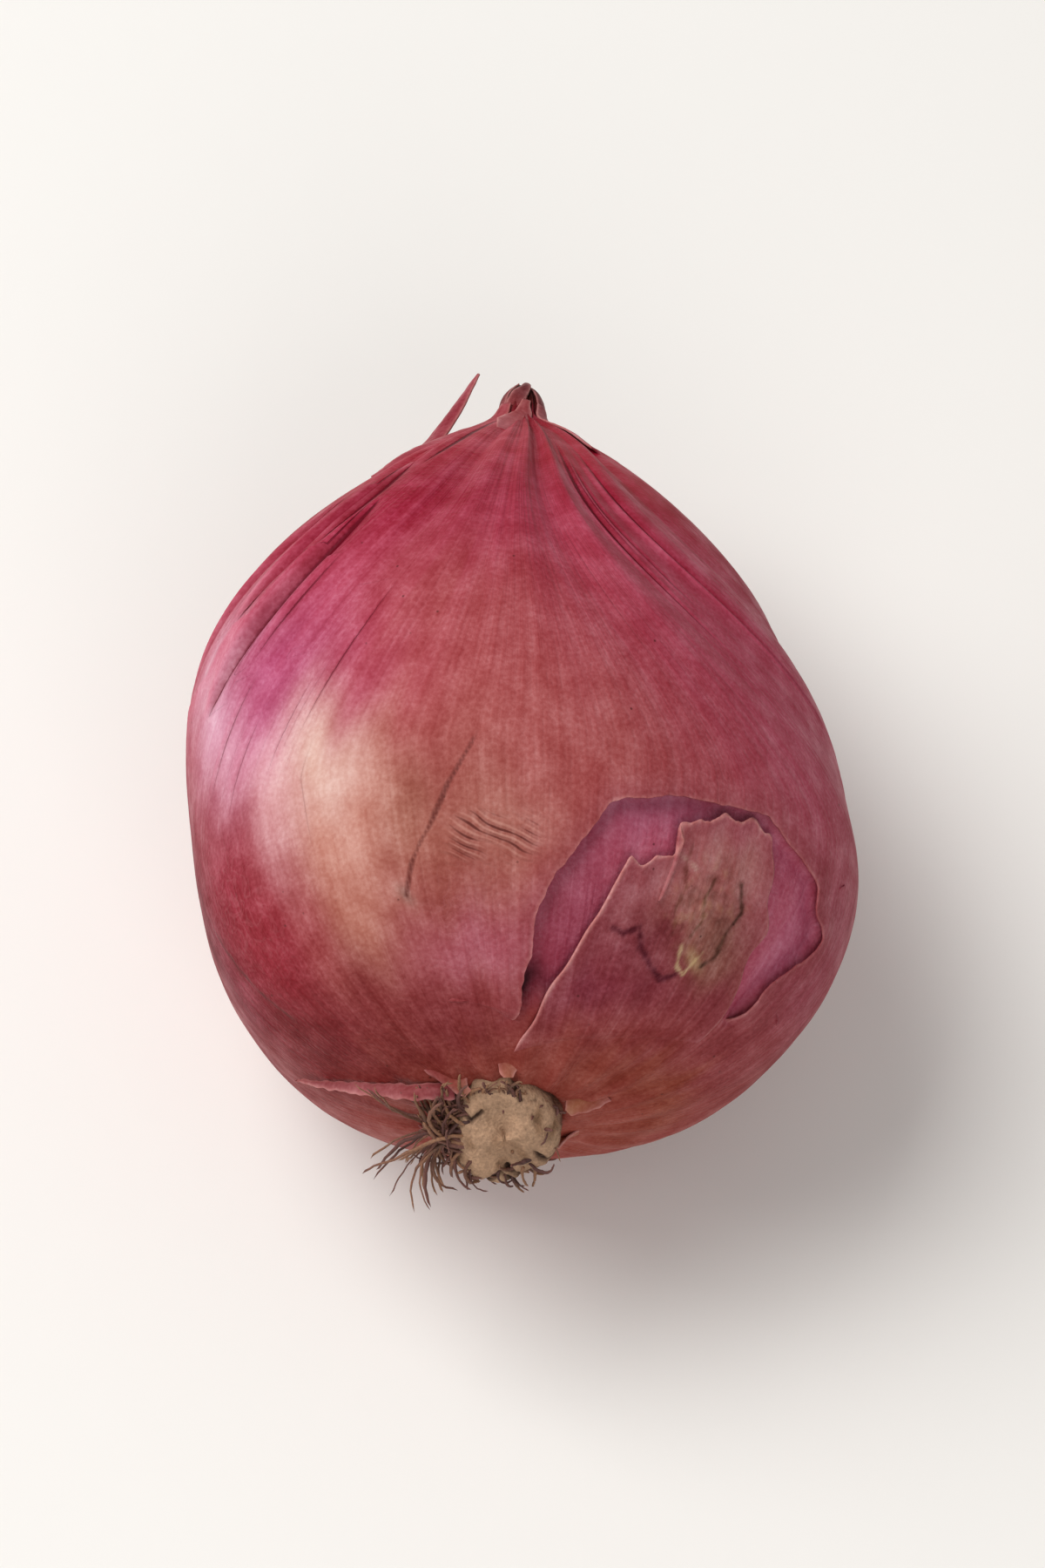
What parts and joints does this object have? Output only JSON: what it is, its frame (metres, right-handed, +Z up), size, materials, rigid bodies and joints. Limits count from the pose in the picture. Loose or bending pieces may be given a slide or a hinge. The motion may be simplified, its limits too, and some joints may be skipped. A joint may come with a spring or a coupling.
{
  "type": "shallot",
  "caption": "Red shallot bulb lying on a flattened side, with a pinched pleated neck, a torn window in its papery skin, and a root plate with dried rootlets.",
  "frame": {"origin": "centre of the small flat spot that the bulb lies on", "axes": "+Z up, +Y along the bulb's axis from the root plate to the neck, +X across"},
  "size_m": [0.0309, 0.0441, 0.03],
  "materials": {
    "papery_skin": "dry papery outer skin with a soft gloss, crimson at the neck, copper and mauve below",
    "dried_root": "matt corky root plate, cream to tan, with brown dried fibres"
  },
  "bodies": {
    "root": {"bulb": "papery_skin", "roots": "dried_root"}
  },
  "joints": []
}
